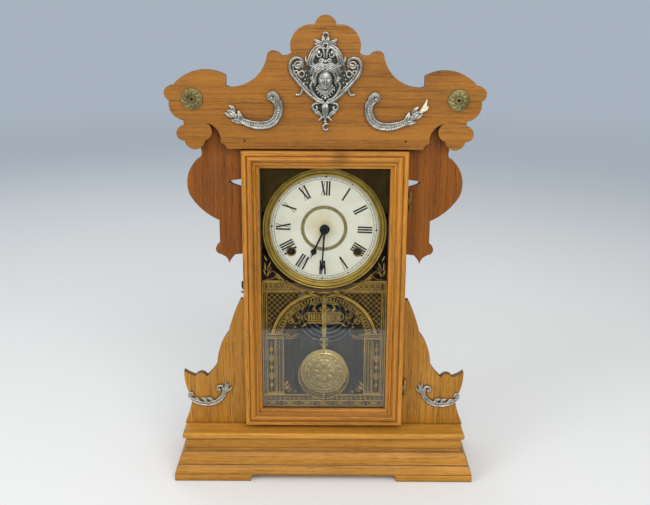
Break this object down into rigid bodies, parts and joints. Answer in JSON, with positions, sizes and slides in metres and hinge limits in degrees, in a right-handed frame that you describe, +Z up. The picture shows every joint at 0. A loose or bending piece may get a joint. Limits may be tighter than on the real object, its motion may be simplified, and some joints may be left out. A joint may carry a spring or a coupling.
{
  "type": "mantel clock",
  "caption": "Carved oak gingerbread shelf clock with fretted crest and side wings, cast ornaments, glazed hinged door, round dial, pendulum and wire gong.",
  "frame": {"origin": "on the surface that the clock stands on, under the middle of the base", "axes": "+X to the viewer's right, +Y to the back of the clock, +Z up"},
  "size_m": [0.376, 0.12, 0.573],
  "materials": {
    "oak_crosswise": "satin varnish",
    "oak_upright": "satin varnish",
    "oak_door_rails": "satin varnish",
    "oak_wings": "satin varnish",
    "pine_carcass": "unfinished",
    "cast_pewter": "cast, darkened in the recesses",
    "aged_brass": "aged",
    "dial_brass": "aged",
    "dial_enamel": "matt enamel",
    "blued_steel": "semi-gloss",
    "dark_iron": "dull",
    "door_pane": "clear",
    "movement_brass": "satin",
    "spring_steel": "satin",
    "bob_brass": "pressed, worn"
  },
  "bodies": {
    "clock_case": {"base_front_moulding": "oak_crosswise", "base_side_moulding_left": "oak_crosswise", "base_side_moulding_right": "oak_crosswise", "base_back_rail": "pine_carcass", "glue_blocks": "pine_carcass", "base_top_board": "oak_crosswise", "case_floor": "pine_carcass", "case_side_left": "oak_upright", "case_side_right": "oak_upright", "case_top_board": "pine_carcass", "case_back_board": "pine_carcass", "crest_board": "oak_crosswise", "upper_wing_left": "oak_wings", "upper_wing_right": "oak_wings", "lower_wing_left": "oak_wings", "lower_wing_right": "oak_wings", "mask_ornament": "cast_pewter", "crest_scrolls": "cast_pewter", "wing_scrolls": "cast_pewter", "rosettes": "aged_brass", "case_fasteners": "dark_iron", "dial_rails": "pine_carcass", "dial_sheet": "dial_enamel", "dial_bezel": "dial_brass", "winding_grommets": "dial_brass", "front_plate": "movement_brass", "back_plate": "movement_brass", "plate_pillars": "movement_brass", "gong_coil": "spring_steel", "gong_block": "movement_brass", "case_hinge_leaves": "aged_brass", "mainsprings": "spring_steel"},
    "door": {"door_rail_bottom": "oak_door_rails", "door_rail_top": "oak_door_rails", "door_stile_left": "oak_upright", "door_stile_right": "oak_upright", "door_glass": "door_pane", "glass_beads": "pine_carcass", "door_fittings": "aged_brass"},
    "catch": {"catch_hook": "dark_iron"},
    "minute_arbor": {"cannon_pinion": "movement_brass", "minute_hand": "blued_steel"},
    "motion_wheel": {"minute_wheel": "movement_brass"},
    "hour_pipe": {"hour_wheel": "movement_brass", "hour_hand": "blued_steel"},
    "time_great": {"time_great_wheel": "movement_brass"},
    "time_second": {"time_second_wheel": "movement_brass"},
    "centre": {"centre_arbor": "movement_brass"},
    "time_third": {"time_third_wheel": "movement_brass"},
    "escape": {"escape_wheel": "movement_brass"},
    "time_winder": {"time_winding_arbor": "spring_steel"},
    "strike_winder": {"strike_winding_arbor": "spring_steel"},
    "strike_great": {"strike_great_wheel": "movement_brass"},
    "strike_second": {"strike_second_wheel": "movement_brass"},
    "strike_third": {"strike_third_wheel": "movement_brass"},
    "fly": {"strike_fly": "movement_brass"},
    "pendulum": {"pendulum_rod": "spring_steel", "pendulum_bob": "bob_brass"},
    "verge": {"verge_and_crutch": "spring_steel"},
    "hammer": {"strike_hammer": "spring_steel"}
  },
  "joints": [
    {"name": "door_hinge", "type": "hinge", "parent": "clock_case", "child": "door", "pos_m": [0.1023, -0.025, 0.243], "axis": [0, 0, 1], "range_deg": [0, 110]},
    {"name": "catch_hook_pivot", "type": "hinge", "parent": "clock_case", "child": "catch", "pos_m": [-0.1, -0.012, 0.244], "axis": [-1, 0, 0], "range_deg": [-25, 45]},
    {"name": "minute_hand_arbor", "type": "hinge", "parent": "clock_case", "child": "minute_arbor", "pos_m": [0, -0.005, 0.3195], "axis": [0, 1, 0], "continuous": true},
    {"name": "minute_wheel_stud", "type": "hinge", "parent": "clock_case", "child": "motion_wheel", "pos_m": [0.01413, 0.002, 0.31199], "axis": [0, 1, 0], "continuous": true},
    {"name": "hour_hand_pipe", "type": "hinge", "parent": "clock_case", "child": "hour_pipe", "pos_m": [0, -0.005, 0.3195], "axis": [0, 1, 0], "continuous": true},
    {"name": "time_third_arbor", "type": "hinge", "parent": "clock_case", "child": "time_third", "pos_m": [-0.00855, 0.02, 0.34193], "axis": [0, 1, 0], "continuous": true},
    {"name": "escape_arbor", "type": "hinge", "parent": "clock_case", "child": "escape", "pos_m": [0, 0.02, 0.3622], "axis": [0, 1, 0], "continuous": true},
    {"name": "centre_arbor_turn", "type": "hinge", "parent": "clock_case", "child": "centre", "pos_m": [0, 0.02, 0.3195], "axis": [0, 1, 0], "continuous": true},
    {"name": "time_second_arbor", "type": "hinge", "parent": "clock_case", "child": "time_second", "pos_m": [0.02928, 0.02, 0.32475], "axis": [0, 1, 0], "continuous": true},
    {"name": "time_great_turn", "type": "hinge", "parent": "clock_case", "child": "time_great", "pos_m": [0.041, 0.028, 0.29], "axis": [0, 1, 0], "continuous": true},
    {"name": "time_winding", "type": "hinge", "parent": "clock_case", "child": "time_winder", "pos_m": [0.041, 0, 0.29], "axis": [0, 1, 0], "continuous": true},
    {"name": "strike_winding", "type": "hinge", "parent": "clock_case", "child": "strike_winder", "pos_m": [-0.041, 0, 0.29], "axis": [0, 1, 0], "continuous": true},
    {"name": "strike_third_arbor", "type": "hinge", "parent": "clock_case", "child": "strike_third", "pos_m": [-0.03136, 0.02, 0.34845], "axis": [0, 1, 0], "continuous": true},
    {"name": "fly_arbor", "type": "hinge", "parent": "clock_case", "child": "fly", "pos_m": [-0.02286, 0.02, 0.36318], "axis": [0, 1, 0], "continuous": true},
    {"name": "strike_second_arbor", "type": "hinge", "parent": "clock_case", "child": "strike_second", "pos_m": [-0.02928, 0.02, 0.32475], "axis": [0, 1, 0], "continuous": true},
    {"name": "strike_great_turn", "type": "hinge", "parent": "clock_case", "child": "strike_great", "pos_m": [-0.041, 0.028, 0.29], "axis": [0, 1, 0], "continuous": true},
    {"name": "pendulum_swing", "type": "hinge", "parent": "clock_case", "child": "pendulum", "pos_m": [0, 0.043, 0.3822], "axis": [0, 1, 0], "range_deg": [-5, 5]},
    {"name": "verge_rock", "type": "hinge", "parent": "clock_case", "child": "verge", "pos_m": [0, 0.02, 0.3822], "axis": [0, 1, 0], "range_deg": [-5, 5]},
    {"name": "hammer_lift", "type": "hinge", "parent": "clock_case", "child": "hammer", "pos_m": [0, 0.02, 0.2925], "axis": [0, 1, 0], "range_deg": [0, 12]}
  ],
  "couplings": [
    {"joint": "minute_wheel_stud", "follows": "minute_hand_arbor", "ratio": -0.33333},
    {"joint": "hour_hand_pipe", "follows": "minute_hand_arbor", "ratio": 0.083333},
    {"joint": "escape_arbor", "follows": "time_third_arbor", "ratio": -10},
    {"joint": "centre_arbor_turn", "follows": "time_third_arbor", "ratio": -0.11111},
    {"joint": "time_second_arbor", "follows": "time_third_arbor", "ratio": 0.018519},
    {"joint": "time_great_turn", "follows": "time_third_arbor", "ratio": -0.0020576},
    {"joint": "fly_arbor", "follows": "strike_third_arbor", "ratio": -7.5},
    {"joint": "strike_second_arbor", "follows": "strike_third_arbor", "ratio": -0.13333},
    {"joint": "strike_great_turn", "follows": "strike_third_arbor", "ratio": 0.014815},
    {"joint": "verge_rock", "follows": "pendulum_swing", "ratio": 1}
  ]
}
